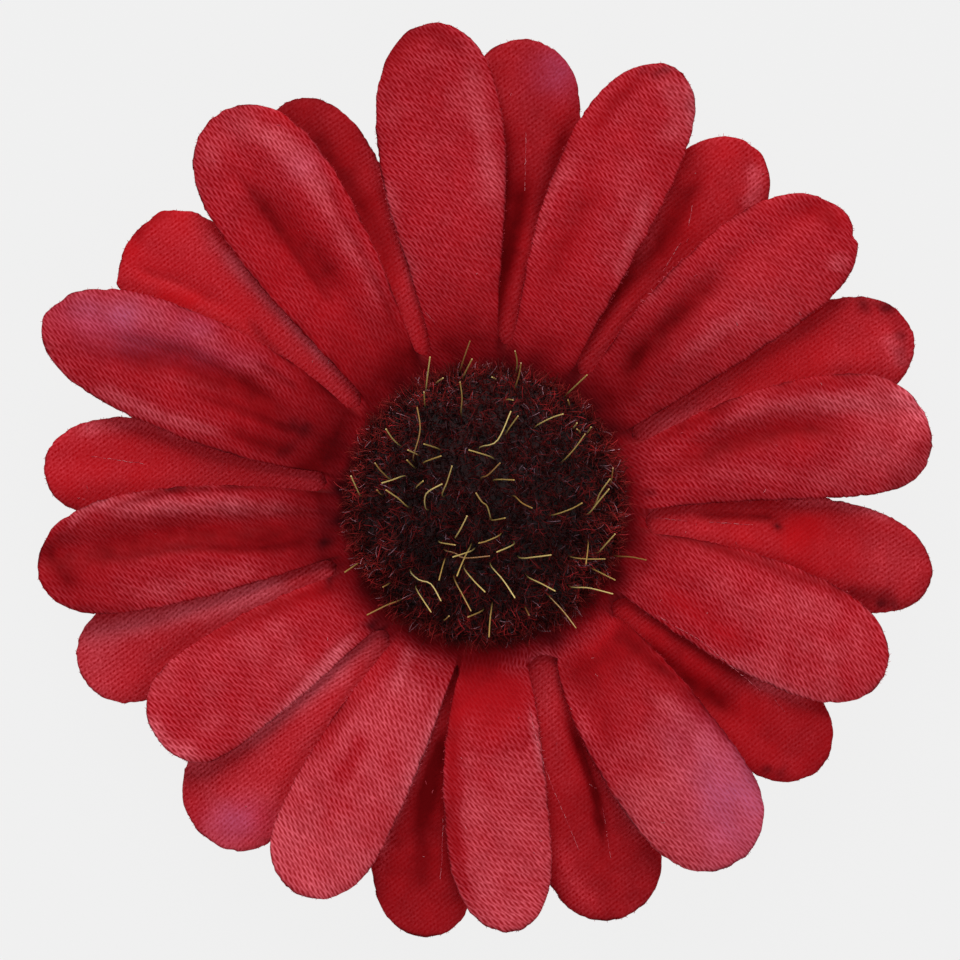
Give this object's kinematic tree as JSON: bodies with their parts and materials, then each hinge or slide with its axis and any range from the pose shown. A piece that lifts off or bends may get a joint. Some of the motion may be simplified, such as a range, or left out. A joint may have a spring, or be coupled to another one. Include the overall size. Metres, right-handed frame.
{
  "type": "artificial gerbera flower head",
  "caption": "Artificial gerbera flower head: two die-cut satin petal whorls pinched between a pin and a moulded calyx, with a domed pile centre and stiff strands.",
  "frame": {"origin": "middle of the calyx's flat bottom, on the flower's axis", "axes": "+Z along the flower's axis, out of its face; +Y towards the longest upper petal, which is the top of the picture; +X to the picture's right"},
  "size_m": [0.098, 0.1002, 0.0235],
  "materials": {
    "satin_upper": "satin cloth, warm red with a pinkish sheen",
    "satin_lower": "satin cloth, deeper red",
    "pile": "near-black maroon pile",
    "strands": "dull gold",
    "pin_plastic": "black moulded plastic",
    "calyx_plastic": "green moulded plastic"
  },
  "bodies": {
    "root": {"petal_layer_upper": "satin_upper", "petal_layer_lower": "satin_lower", "pile_centre": "pile", "centre_pin": "pin_plastic", "calyx": "calyx_plastic"}
  },
  "joints": []
}
